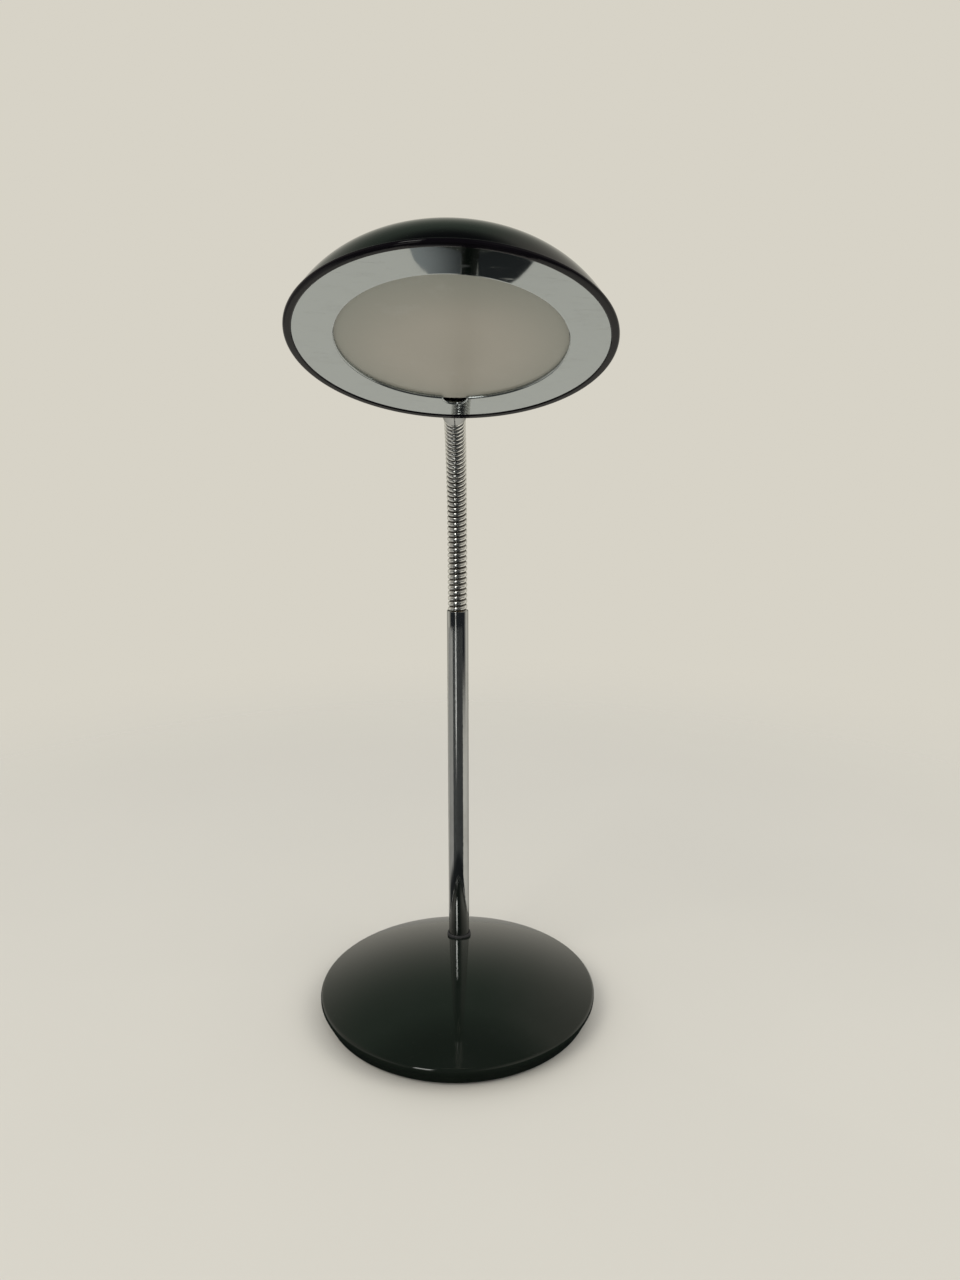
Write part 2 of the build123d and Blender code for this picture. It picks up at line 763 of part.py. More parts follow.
# Body of the push switch, clamped under the crown by its threaded neck
switch_bore_radius = button_radius + button_clearance
crown_inside = shade_height - crown_radius + sqrt((crown_radius - shade_wall) ** 2 - switch_body_radius**2)
switch_body_top = crown_inside - switch_clearance
switch_body_bottom = switch_body_top - switch_body_depth
button_bottom = shade_height - button_depth
with BuildPart() as switch_body:
    with BuildSketch(head_plane.offset(switch_body_bottom)):
        Circle(switch_body_radius)
    extrude(amount=switch_body_depth)
    with BuildSketch(head_plane.offset(switch_body_top)):
        Circle(switch_thread_radius)
    extrude(amount=shade_height + switch_thread_stand - switch_body_top)
    with BuildSketch(head_plane.offset(shade_height + switch_thread_stand)):
        Circle(switch_bore_radius)
    bore_depth = switch_thread_stand + button_depth + button_travel + button_clearance
    extrude(amount=-bore_depth, mode=Mode.SUBTRACT)
save(switch_body, "switch_body")

# Bezel ring on the crown
with BuildPart() as switch_bezel:
    with BuildSketch(head_plane.offset(shade_height - bezel_height)):
        Circle(bezel_radius)
        Circle(switch_thread_radius + switch_clearance, mode=Mode.SUBTRACT)
    extrude(amount=2 * bezel_height)
    chamfer(switch_bezel.edges().group_by(head_axis)[-1].sort_by(SortBy.RADIUS)[-1], bezel_chamfer)
    add(shade_form(-collar_gap, 0), mode=Mode.SUBTRACT)
save(switch_bezel, "switch_bezel")

# Button that is pressed into the bezel
with BuildPart() as switch_button:
    with BuildSketch(head_plane.offset(button_bottom)):
        Circle(button_radius)
    extrude(amount=button_depth + button_stand)
    fillet(switch_button.edges().group_by(head_axis)[-1], button_round)
save(switch_button, "switch_button")

# Lead from the switch to the holder's top
switch_lead_height = switch_body_top - switch_lead_drop
lead_landing = along_collar(holder_end - switch_lead_inset)
landing_point = head_plane.to_local_coords(lead_landing.origin + lead_landing.y_dir * holder_height / 2)
with BuildPart() as switch_lead:
    with BuildLine() as switch_path:
        FilletPolyline(
            head_plane.from_local_coords((0, switch_body_radius + end_gap, switch_lead_height)),
            head_plane.from_local_coords((0, landing_point.Y, switch_lead_height)),
            head_plane.from_local_coords((0, landing_point.Y, landing_point.Z + end_gap)),
            radius=switch_lead_bend_radius,
        )
    with BuildSketch(Plane(origin=switch_path.line @ 0, z_dir=switch_path.line % 0)):
        Circle(switch_lead_radius)
    sweep()
save(switch_lead, "switch_lead")
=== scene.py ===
import bmesh
import bpy
import json
from math import asin, atan2, copysign, cos, degrees, hypot, pi, radians, sin, sqrt, tan
from mathutils import Matrix, Vector


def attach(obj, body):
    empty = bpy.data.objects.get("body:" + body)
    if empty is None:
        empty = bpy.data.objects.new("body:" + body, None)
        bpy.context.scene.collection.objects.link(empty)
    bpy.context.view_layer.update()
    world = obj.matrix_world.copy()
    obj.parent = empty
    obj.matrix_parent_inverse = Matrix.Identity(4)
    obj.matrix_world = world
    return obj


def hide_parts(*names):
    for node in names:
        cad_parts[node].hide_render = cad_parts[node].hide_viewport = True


# A desk lamp: domed foot, chrome tube, wound gooseneck and mushroom head.
# Lengths are in metres and angles in degrees, in the frame of the solids.
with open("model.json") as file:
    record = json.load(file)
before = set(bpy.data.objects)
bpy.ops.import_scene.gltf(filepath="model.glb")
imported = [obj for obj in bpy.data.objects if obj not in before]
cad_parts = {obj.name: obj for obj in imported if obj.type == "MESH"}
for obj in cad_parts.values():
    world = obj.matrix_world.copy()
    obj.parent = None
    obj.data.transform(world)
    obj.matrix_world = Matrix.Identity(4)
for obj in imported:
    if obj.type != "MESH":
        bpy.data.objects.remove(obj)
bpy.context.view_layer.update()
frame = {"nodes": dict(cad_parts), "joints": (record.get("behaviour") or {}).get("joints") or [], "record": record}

# Steps round the turned pieces, and the angle from which an edge is sharp
wide_steps = 256
disc_steps = 160
tube_steps = 128
small_steps = 96
sharp_angle = 40

# Foot
foot_radius = 0.0900
foot_top = 0.0285
foot_edge = 0.0130
foot_band = 0.0030
foot_lower_radius = 0.0860
foot_bottom = 0.0020
foot_wall = 0.0012
foot_edge_round = 0.0024
foot_band_round = 0.0020
foot_corner_out = 0.0002
foot_corner_up = 0.0004
foot_inner_step = 0.0002
pad_radius = 0.0834
pad_round = 0.0005

# Stem
stem_y = 0.0410
stem_radius = 0.0070
stem_wall = 0.0006
stem_bottom = 0.0176
stem_top = 0.2576
stem_top_round = 0.0004
stem_rings = 24
seal_radius = 0.0081
seal_inner_radius = 0.00705
seal_stand = 0.0026
seal_round = 0.0009
seal_inner_round = 0.0002
seal_skirt = 0.0001
seal_gap = 0.0001

# Gooseneck
rib_pitch = 0.00352
rib_crest = 0.0063
rib_valley = 0.0054
rib_inside = 0.00532
rib_gap = 0.00064
rib_fullness = 0.55
core_radius = 0.00526
core_wall = 0.00015
core_half_length = 0.0019
ball_half_length = 0.0024
ball_inside = 0.0044
link_length = 0.00704
straight_links = 5
neck_bend = 60.2
hinge_count = 20
turns_per_link = 2
steps_per_turn = 72
rib_points = 12

# Head, in its own frame: origin at the centre of the rim, y to the back, z to the crown
head_tilt = 25.0
head_side_lean = 0.9
head_side_shift = 0.0012
neck_end_from_rim = 0.0134
neck_end_above_rim = 0.0067
shade_radius = 0.0785
shade_seat = 0.0004
shade_height = 0.0381
shade_wall = 0.0012
crown_radius = 0.1480
crown_edge_angle = 17.2
rim_radius = 0.0795
rim_width = 0.0039
rim_height = 0.0022
rim_inner_round = 0.0006
mirror_radius = 0.07545
mirror_bottom = -0.0013
mirror_thickness = 0.0008
mirror_opening = 0.0560
mirror_lip_top = 0.0003
lip_steps = 6
notch_radius = 0.0062
notch_shoulder = 0.0016
opening_steps = 200
notch_steps = 28
shoulder_steps = 8
glass_radius = 0.0585
glass_bottom = 0.0003
glass_thickness = 0.0030
glass_round = 0.0004
# Painted light on the glass: its lighter spot lies this far towards the back of the head.
glass_painted_light_back = 0.010
flat_margin = 0.0003
collar_radius = 0.0070
collar_start = 0.0004
collar_reach = 0.0140
collar_bite = 0.0003
collar_mouth = 0.0065
collar_round = 0.0005
collar_mouth_round = 0.0002
collar_rings = (0.3, 0.6, 1.0)
collar_end_from = 0.99
collar_fit_steps = 8
bezel_radius = 0.0086
bezel_inner_radius = 0.0056
bezel_height = 0.0016
bezel_round = 0.0005
bezel_inner_round = 0.0003
bezel_sink = 0.0006
button_radius = 0.0048
button_stand = 0.0032
button_depth = 0.0040
button_round = 0.0008
button_dish = 0.0004
dish_profile = ((0.0, 1.0), (0.35, 0.85), (0.65, 0.35))

# Camera, as fitted to the photograph
camera_place = (0.014612, -0.575406, 0.37276)
camera_pitch = -12.369
camera_roll = 0.027
camera_lens = 27.0
camera_sensor = 36.0

# Colour of chrome seen at a grazing angle
chrome_edge = (0.50, 0.50, 0.49, 1)

# Floor, and the card on it that only reflections show
floor_low = (0.590, 0.566, 0.500, 1)
floor_high = (0.625, 0.600, 0.530, 1)
floor_radius = 1.4
floor_fade = (0.32, 1.00)
card_left_colour = (0.36, 0.35, 0.32, 1)
card_front_low = (0.036, 0.039, 0.038, 1)
card_front_high = (0.046, 0.049, 0.048, 1)
card_slit_colour = (0.78, 0.77, 0.73, 1)
card_near_colour = (0.010, 0.013, 0.014, 1)
card_corner_colour = (0.50, 0.52, 0.50, 1)
card_grey_angle = -118.0
card_dark_angle = -56.0
card_end_angle = 54.0
card_slit_angle = -20.0
card_slit_side = (3.0, 7.0)
card_slit_from = (0.30, 0.60)
card_edge_blur = 5
card_near = (0.14, 0.18)
card_corner_side = (-0.055, 0.0)
card_corner_back = (0.080, 0.095)
card_length = 1.20
card_lift = 0.0004
card_discs = ((0.125, -0.035), (0.062, 0.075))

# Room that gloss shows. Each band has where it begins and is full, in the parts of a ray's direction.
wall_colour = (0.680, 0.650, 0.570, 1)
ceiling_colour = (0.125, 0.160, 0.125, 1)
beside_colour = (0.340, 0.320, 0.280, 1)
zenith_colour = (0.020, 0.021, 0.022, 1)
room_colour = (0.022, 0.024, 0.026, 1)
strip_colour = (0.900, 0.880, 0.820, 1)
soft_colour = (0.850, 0.860, 0.880, 1)
window_colour = (6.200, 6.200, 5.850, 1)
ceiling_right = (0.05, 0.50)
ceiling_left = (0.35, 0.70)
ceiling_up = (0.12, 0.80)
zenith_up = (0.78, 0.93)
beside_right = (0.05, 0.80)
beside_left = (0.40, 0.90)
beside_up = (-0.02, 0.25)
right_share = 0.85
left_share = 0.65
behind_lamp = (-0.30, 0.35)
before_lamp = (0.2, 0.4)
strip_angle = 20.0
strip_side = (0.03, 0.09)
strip_up = (0.02, 0.14)
window_angle = 26.0
window_side = (0.10, 0.14)
window_sill = (0.28, 0.32)
window_head = (0.60, 0.66)
light_colour = (1.0, 0.97, 0.92)


class Value:
    """A socket of a node tree, with the arithmetic that the finishes use."""

    def __init__(self, nodes, socket):
        self.nodes = nodes
        self.socket = socket

    def math(self, operation, first, second=None):
        inputs = {0: first}
        if second is not None:
            inputs[1] = second
        return self.nodes.node("ShaderNodeMath", {"operation": operation}, inputs)

    def __add__(self, other):
        return self.math("ADD", self, other)

    def __radd__(self, other):
        return self.math("ADD", other, self)

    def __sub__(self, other):
        return self.math("SUBTRACT", self, other)

    def __rsub__(self, other):
        return self.math("SUBTRACT", other, self)

    def __mul__(self, other):
        return self.math("MULTIPLY", self, other)

    def __rmul__(self, other):
        return self.math("MULTIPLY", other, self)

    def __pow__(self, other):
        return self.math("POWER", self, other)

    def size(self):
        return self.math("ABSOLUTE", self)

    def or_more(self, other):
        """The larger of the two."""
        return self.math("MAXIMUM", self, other)

    def above(self, low, high):
        """0 below low, 1 above high and smooth between them."""
        settings = {"interpolation_type": "SMOOTHSTEP"}
        inputs = {"Value": self, "From Min": low, "From Max": high}
        return self.nodes.node("ShaderNodeMapRange", settings, inputs)


class Nodes:
    """A node tree, emptied and then built up by expressions on values."""

    def __init__(self, tree):
        self.tree = tree
        self.tree.nodes.clear()

    def node(self, kind, settings, inputs, output=0):
        node = self.tree.nodes.new(kind)
        for name, value in settings.items():
            setattr(node, name, value)
        for name, value in inputs.items():
            socket = node.inputs[name]
            if isinstance(value, Value):
                self.tree.links.new(value.socket, socket)
            else:
                socket.default_value = value
        return Value(self, node.outputs[output])

    def parts(self, vector):
        """The three numbers of a vector."""
        return [self.node("ShaderNodeSeparateXYZ", {}, {0: vector}, axis) for axis in range(3)]

    def mix(self, factor, first, second):
        """Colours mixed by a factor."""
        inputs = {0: factor, 6: first, 7: second}
        return self.node("ShaderNodeMix", {"data_type": "RGBA"}, inputs, 2)

    def output(self, kind, shader):
        output = self.tree.nodes.new(kind)
        self.tree.links.new(shader.socket, output.inputs["Surface"])


class Finish(Nodes):
    """A procedural material, written as expressions on values."""

    def __init__(self, name):
        self.material = bpy.data.materials.new(name)
        self.material.use_nodes = True
        super().__init__(self.material.node_tree)
        self.place = self.node("ShaderNodeTexCoord", {}, {}, "Object")

    def noise(self, scale, detail=3.0, roughness=0.5, place=None):
        inputs = {"Vector": place or self.place, "Scale": scale}
        inputs |= {"Detail": detail, "Roughness": roughness}
        return self.node("ShaderNodeTexNoise", {}, inputs)

    def cells(self, scale):
        return self.node("ShaderNodeTexVoronoi", {}, {"Vector": self.place, "Scale": scale})

    def stretched(self, scale):
        return self.node("ShaderNodeMapping", {}, {"Vector": self.place, "Scale": scale})

    def bump(self, height, distance):
        return self.node("ShaderNodeBump", {}, {"Height": height, "Distance": distance})

    def surface(self, **inputs):
        named = {name.replace("_", " "): value for name, value in inputs.items()}
        self.output("ShaderNodeOutputMaterial", self.node("ShaderNodeBsdfPrincipled", {}, named))
        return self.material


def enamel_finish(name, dust, low, high, index=1.52):
    """Black stove enamel: mirror gloss, faint orange peel, wiping haze and settled dust."""
    f = Finish(name)
    haze = f.noise(28, 4, 0.6).above(0.45, 0.75)
    wipe = f.noise(9, 3, 0.5, f.stretched((1, 6, 1))).above(0.5, 0.8)
    specks = 1 - f.cells(650).above(0.035, 0.075)
    sparse = f.noise(160, 2).above(0.52, 0.60)
    up = f.parts(f.node("ShaderNodeNewGeometry", {}, {}, "Normal"))[2]
    dusty = specks * sparse * up.above(0.2, 0.8) * dust
    peel = f.noise(420, 2) * 0.6 + f.noise(120, 2) * 0.4
    # Each copy of the enamel sets low and high lighter or darker as painted light.
    colour = f.mix(haze * 0.5, (*low, 1), (*high, 1))
    colour = f.mix(dusty, colour, (0.30, 0.29, 0.26, 1))
    return f.surface(
        Base_Color=colour,
        Roughness=0.045 + haze * 0.05 + wipe * 0.04 + dusty * 0.5,
        IOR=index,
        Normal=f.bump(peel, 0.00002),
    )


def chrome_finish():
    """Chrome plate with finger haze, fine wiping scratches and a few pits."""
    f = Finish("stem_chrome")
    haze = f.noise(45, 4, 0.6).above(0.45, 0.8)
    lines = f.noise(600, 2, 0.5, f.stretched((8, 8, 0.5))).above(0.55, 0.75)
    pits = 1 - f.cells(900).above(0.03, 0.07)
    pits = pits * f.noise(210, 2).above(0.56, 0.63)
    colour = f.mix(haze * 0.35 + pits * 0.6, (0.55, 0.56, 0.56, 1), (0.33, 0.3248, 0.308, 1))
    return f.surface(
        Base_Color=colour,
        Metallic=1.0,
        Specular_Tint=chrome_edge,
        Roughness=0.035 + haze * 0.05 + lines * 0.05 + pits * 0.3,
        Normal=f.bump(lines * 0.5 + pits * 0.5, 0.00001),
    )


def neck_finish():
    """Chrome of the gooseneck: bright crests, and painted brown shade in the grooves, varied a little by haze."""
    f = Finish("neck_chrome")
    groove = f.node("ShaderNodeAttribute", {"attribute_name": "groove"}, {}, "Fac")
    haze = f.noise(70, 4, 0.6).above(0.4, 0.8)
    # Painted shade: the colour turns dark brown where the groove attribute is deep, varied a little by haze.
    painted_groove_shade = (groove + haze * 0.20 - 0.22).above(0.0, 1.0)
    lines = f.noise(500, 2, 0.5, f.stretched((1, 1, 6))).above(0.5, 0.8)
    return f.surface(
        Base_Color=f.mix(painted_groove_shade, (0.88, 0.88, 0.85, 1), (0.095, 0.078, 0.060, 1)),
        Metallic=1.0,
        Specular_Tint=chrome_edge,
        Roughness=0.15 + painted_groove_shade * 0.35 + lines * 0.06,
        Normal=f.bump(lines, 0.00001),
    )


def mirror_finish():
    """Polished ring: clear reflection with dried smears, dust specks and hairlines."""
    f = Finish("mirror_polish")
    smear = f.noise(60, 5, 0.65, f.stretched((1, 2.2, 1))).above(0.50, 0.78)
    streak = f.noise(210, 3, 0.6, f.stretched((0.35, 1.6, 1))).above(0.58, 0.72)
    streak = streak * f.noise(35).above(0.45, 0.6)
    specks = 1 - f.cells(520).above(0.04, 0.09)
    specks = specks * f.noise(130, 2).above(0.53, 0.6)
    marks = smear * 0.35 + streak * 0.4 + specks
    return f.surface(
        Base_Color=f.mix(marks * 0.5, (0.49, 0.525, 0.53, 1), (0.30, 0.31, 0.30, 1)),
        Metallic=1.0,
        Roughness=0.03 + smear * 0.05 + streak * 0.10 + specks * 0.3,
        Normal=f.bump(f.noise(26, 2), 0.00006),
    )


def glass_finish(centre):
    """Satin etched glass, unlit: warm grey body with faint smears, and painted light that is lighter towards the
    back and darker and greener towards the edge.
    """
    f = Finish("satin_glass")
    from_painted_light_spot = f.node("ShaderNodeVectorMath", {"operation": "DISTANCE"}, {0: f.place, 1: centre}, 1)
    cloud = f.noise(16, 3, 0.5)
    smear = f.noise(70, 4, 0.6).above(0.55, 0.8)
    colour = f.mix(cloud, (0.340, 0.320, 0.265, 1), (0.390, 0.360, 0.300, 1))
    # Painted light and shade: lighter near the spot, darker and greener further out towards the edge.
    colour = f.mix(from_painted_light_spot.above(0.020, 0.068) * 0.75, colour, (0.235, 0.245, 0.205, 1))
    colour = f.mix(smear * 0.12, colour, (0.46, 0.45, 0.41, 1))
    return f.surface(
        Base_Color=colour,
        Roughness=0.20 + cloud * 0.05 + smear * 0.05,
        IOR=1.5,
        Normal=f.bump(cloud, 0.00005),
    )


def plain_finish(name, low, high, roughness, scale, metallic=0.0, depth=0.00003, fleck=0.0):
    """A plain surface whose colour, roughness and grain vary a little."""
    f = Finish(name)
    cloud = f.noise(scale / 6, 3, 0.5)
    grain = f.noise(scale * 8, 2, 0.6)
    specks = (1 - f.cells(scale * 3).above(0.05, 0.12)) * fleck
    dark = [part * 0.4 for part in low]
    colour = f.mix(cloud, (*low, 1), (*high, 1))
    return f.surface(
        Base_Color=f.mix(specks, colour, (*dark, 1)),
        Metallic=metallic,
        Roughness=roughness + cloud * 0.08 + grain * 0.06 - 0.07,
        Normal=f.bump(grain + cloud * 0.4, depth),
    )


def felt_finish():
    """Black felted pad: short fibres and lint."""
    f = Finish("pad_felt")
    fibre = f.noise(1400, 4, 0.7, f.stretched((1, 3, 1)))
    other = f.noise(1400, 4, 0.7, f.stretched((3, 1, 1)))
    lint = (1 - f.cells(300).above(0.05, 0.10)) * 0.5
    colour = f.mix(fibre, (0.012, 0.012, 0.012, 1), (0.045, 0.044, 0.042, 1))
    return f.surface(
        Base_Color=f.mix(lint, colour, (0.20, 0.19, 0.18, 1)),
        Roughness=0.95,
        Normal=f.bump(fibre + other, 0.0003),
    )


# Head frame, from the last hinge of the neck
hinges = [joint for joint in frame["joints"] if joint["type"] == "hinge"]
neck_end = Vector(hinges[-1]["pos_m"])
tilt = radians(head_tilt)
side_lean = radians(head_side_lean)
to_back = Vector((0, cos(tilt), -sin(tilt)))
to_crown = Vector((sin(side_lean), sin(tilt) * cos(side_lean), cos(tilt) * cos(side_lean)))
to_right = to_back.cross(to_crown)
head_foot = neck_end + Vector((head_side_shift, 0, 0))
head_centre = head_foot - to_back * (rim_radius + neck_end_from_rim) - to_crown * neck_end_above_rim
head_turn = Matrix((to_right, to_back, to_crown)).transposed().to_4x4()
head_matrix = Matrix.Translation(head_centre) @ head_turn

# Finishes, by the slots of the solids
# Painted light: the foot's copy of the black enamel is lighter and greener, as painted reflection of the room, and
# the shade's copy is darker, as painted shade.
enamel = enamel_finish("black_enamel_foot", 0.5, (0.0070, 0.0098, 0.0070), (0.0095, 0.0120, 0.0094))
shade_enamel = enamel_finish(
    "black_enamel_shade", 0.35, (0.0012, 0.0014, 0.0015), (0.0030, 0.0032, 0.0033)
)
rim_enamel = enamel_finish(
    "black_enamel_rim", 0.2, (0.0032, 0.0026, 0.0036), (0.0050, 0.0040, 0.0055), index=1.28
)
chrome = chrome_finish()
neck_chrome = neck_finish()
mirror_polish = mirror_finish()
satin_glass = glass_finish(head_centre + to_back * glass_painted_light_back)
felt = felt_finish()
zinc = plain_finish("zinc_steel", (0.52, 0.53, 0.53), (0.66, 0.66, 0.64), 0.32, 240.0, metallic=1.0)
iron = plain_finish(
    "cast_iron_grey", (0.035, 0.034, 0.033), (0.075, 0.070, 0.065), 0.75, 120.0,
    metallic=0.6, depth=0.0002, fleck=0.5,
)
brass = plain_finish("turned_brass", (0.62, 0.44, 0.18), (0.74, 0.56, 0.26), 0.25, 300.0, metallic=1.0)
white_enamel = plain_finish("white_enamel", (0.78, 0.77, 0.73), (0.86, 0.85, 0.81), 0.30, 60.0)
rubber = plain_finish(
    "black_rubber", (0.018, 0.018, 0.018), (0.035, 0.034, 0.033), 0.70, 200.0,
    depth=0.00004, fleck=0.2,
)
plastic = plain_finish(
    "black_plastic", (0.014, 0.014, 0.015), (0.024, 0.024, 0.024), 0.28, 260.0, depth=0.00001
)
ceramic = plain_finish(
    "white_ceramic", (0.74, 0.73, 0.68), (0.84, 0.83, 0.79), 0.45, 150.0, depth=0.00004, fleck=0.15
)
sheath = plain_finish("lead_sheath", (0.016, 0.016, 0.017), (0.03, 0.03, 0.03), 0.45, 220.0)
bulb_glass = plain_finish(
    "bulb_glass", (0.80, 0.81, 0.80), (0.88, 0.88, 0.86), 0.18, 90.0, depth=0.00001
)

slot_finishes = {
    "black_enamel": enamel,
    "chrome": chrome,
    "mirror": mirror_polish,
    "frosted_glass": satin_glass,
    "clear_glass": bulb_glass,
    "zinc_steel": zinc,
    "cast_iron": iron,
    "brass": brass,
    "white_enamel": white_enamel,
    "black_rubber": rubber,
    "black_plastic": plastic,
    "white_ceramic": ceramic,
    "lead_sheath": sheath,
}
for part in frame["record"]["subparts"]:
    node = frame["nodes"][part["node"]]
    node.data.materials.clear()
    node.data.materials.append(slot_finishes[part["material_slot"]])


def arc(centre, radius, start, end, count):
    """Points along an arc in a section, from one angle to another."""
    angles = [radians(start + (end - start) * i / count) for i in range(count + 1)]
    return [(centre[0] + radius * cos(a), centre[1] + radius * sin(a)) for a in angles]


def corner(place, radius, start, end, count):
    """Quarter round in place of a section's square corner, between two right angles."""
    middle = radians((start + end) / 2)
    across = copysign(radius, cos(middle))
    up = copysign(radius, sin(middle))
    return arc((place[0] - across, place[1] - up), radius, start, end, count)


def turned(section, steps, closed=True):
    """Mesh of a section of radius and height points turned round the z axis."""
    bm = bmesh.new()
    verts = [bm.verts.new((r, 0, z)) for r, z in section]
    pairs = list(zip(verts, verts[1:]))
    if closed:
        pairs.append((verts[-1], verts[0]))
    edges = [bm.edges.new(pair) for pair in pairs]
    bmesh.ops.spin(
        bm, geom=verts + edges, cent=(0, 0, 0), axis=(0, 0, 1), dvec=(0, 0, 0),
        angle=2 * pi, steps=steps, use_merge=True,
    )
    bmesh.ops.remove_doubles(bm, verts=bm.verts, dist=1e-7)
    return bm


def on_stem(bm):
    """Mesh made round the z axis, moved to the stem's axis."""
    bmesh.ops.translate(bm, vec=(0, stem_y, 0), verts=bm.verts)
    return bm


def piece(bm, name, body, finish, slot, replaces):
    """Finished object from a mesh, riding on a body in place of nodes."""
    bmesh.ops.recalc_face_normals(bm, faces=bm.faces)
    mesh = bpy.data.meshes.new(name)
    bm.to_mesh(mesh)
    bm.free()
    mesh.shade_smooth()
    mesh.set_sharp_from_angle(angle=radians(sharp_angle))
    obj = bpy.data.objects.new(name, mesh)
    bpy.context.scene.collection.objects.link(obj)
    mesh.materials.append(finish)
    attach(obj, body)
    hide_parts(*replaces)


# Foot: domed shell with a rounded edge, an inward slope below it and an open underside
foot_rise = foot_top - foot_edge
dome_radius = (foot_radius**2 + foot_rise**2) / (2 * foot_rise)
dome_centre = foot_top - dome_radius


def foot_section():
    edge_corner = foot_radius - foot_edge_round
    edge_height = dome_centre + sqrt((dome_radius - foot_edge_round) ** 2 - edge_corner**2)
    dome_end = degrees(atan2(edge_height - dome_centre, edge_corner))
    points = arc((0, dome_centre), dome_radius, 90, dome_end, 60)
    points += arc((edge_corner, edge_height), foot_edge_round, dome_end, 0, 12)[1:]
    band_low = foot_edge - foot_band
    slope = degrees(atan2(foot_radius - foot_lower_radius, band_low - foot_bottom))
    band_height = band_low + foot_band_round * tan(radians(slope / 2))
    points += arc((foot_radius - foot_band_round, band_height), foot_band_round, 0, -slope, 6)
    points.append((foot_lower_radius + foot_corner_out, foot_bottom + foot_corner_up))
    points += [(foot_lower_radius, foot_bottom), (foot_lower_radius - foot_wall, foot_bottom)]
    points.append((foot_radius - foot_wall - foot_inner_step, band_low))
    inside = dome_radius - foot_wall
    inner_end = degrees(asin((foot_edge - dome_centre - foot_wall) / inside))
    points += arc((0, dome_centre), inside, max(inner_end, dome_end), 90, 40)
    return points


foot = turned(foot_section(), wide_steps, closed=False)
piece(foot, "foot_shell_enamelled", "stand", enamel, "black_enamel", ["foot_shell"])

pad_section = [(0, foot_bottom), (pad_radius, foot_bottom)]
pad_section += corner((pad_radius, 0), pad_round, 0, -90, 5)
pad_section.append((0, 0))
pad = turned(pad_section, disc_steps, closed=False)
piece(pad, "foot_pad_felt", "stand", felt, "black_rubber", ["foot_pad"])


# Stem: polished tube with a rolled mouth that the gooseneck enters
def stem_section():
    mouth = stem_radius - stem_wall
    rise = stem_top - stem_bottom
    points = [(stem_radius, stem_bottom + rise * i / stem_rings) for i in range(stem_rings)]
    points += corner((stem_radius, stem_top), stem_top_round, 0, 90, 6)
    points += corner((mouth, stem_top), stem_top_round / 2, 90, 180, 4)
    points.append((mouth, stem_bottom))
    return points


stem = on_stem(turned(stem_section(), tube_steps))
piece(stem, "stem_polished", "stand", chrome, "chrome", ["stem_tube"])


# Seal: soft ring round the tube that follows the dome it lies on
def dome_height(x, y):
    return dome_centre + sqrt(dome_radius**2 - x**2 - y**2)


def seal():
    top = dome_height(0, stem_y) + seal_stand
    section = [(seal_inner_radius, 0)]
    section += corner((seal_inner_radius, top), seal_inner_round, 180, 90, 3)
    section += corner((seal_radius, top), seal_round, 90, 0, 6)
    section += [(seal_radius + seal_skirt, seal_skirt), (seal_radius + seal_skirt, 0)]
    bm = on_stem(turned(section, small_steps))
    for vert in bm.verts:
        if vert.co.z < top / 2:
            vert.co.z += dome_height(vert.co.x, vert.co.y) + seal_gap
    return bm


piece(seal(), "stem_seal_moulded", "stand", rubber, "black_rubber", ["stem_seal"])


# The neck's centre line: straight links, then an arc that touches the middle of each link
kink = neck_bend / (hinge_count + 1 - straight_links)
bend_start = link_length * (straight_links - 0.5)
bend_radius = link_length / 2 / tan(radians(kink / 2))


def neck_line(s):
    """Point on the neck's centre line and its lean, at a length along it."""
    if s <= bend_start:
        return Vector((0, stem_y, stem_top + s)), 0.0
    lean = (s - bend_start) / bend_radius
    across = bend_radius * (1 - cos(lean))
    up = bend_radius * sin(lean)
    return Vector((0, stem_y - across, stem_top + bend_start + up)), lean


def wind(bm, groove, outline, turns, rise):
    """Wind an outline of length, radius and groove points round the z axis, or close it if flat."""
    verts = []
    for along, radius, depth in outline:
        vert = bm.verts.new((0, radius, along))
        vert[groove] = depth
        verts.append(vert)
    edges = [bm.edges.new(pair) for pair in zip(verts, verts[1:] + verts[:1])]
    bmesh.ops.spin(
        bm, geom=verts + edges, cent=(0, 0, 0), axis=(0, 0, 1), dvec=(0, 0, rise / steps_per_turn),
        angle=2 * pi * turns, steps=steps_per_turn * turns, use_merge=not rise,
    )


def rib_outline(start):
    """Outline of the rib: full at its crest, and thin where it meets the next turn."""
    outline = []
    for i in range(rib_points + 1):
        part = i / rib_points
        fullness = sin(pi * part) ** rib_fullness if 0 < i < rib_points else 0.0
        along = rib_gap / 2 + part * (rib_pitch - rib_gap)
        # The third number is the groove depth, which the neck's finish paints as shade.
        outline.append((along, rib_valley + (rib_crest - rib_valley) * fullness, 1 - fullness))
    outline += [(rib_pitch - rib_gap / 2, rib_inside, 1.0), (rib_gap / 2, rib_inside, 1.0)]
    return [(start + along, radius, depth) for along, radius, depth in outline]


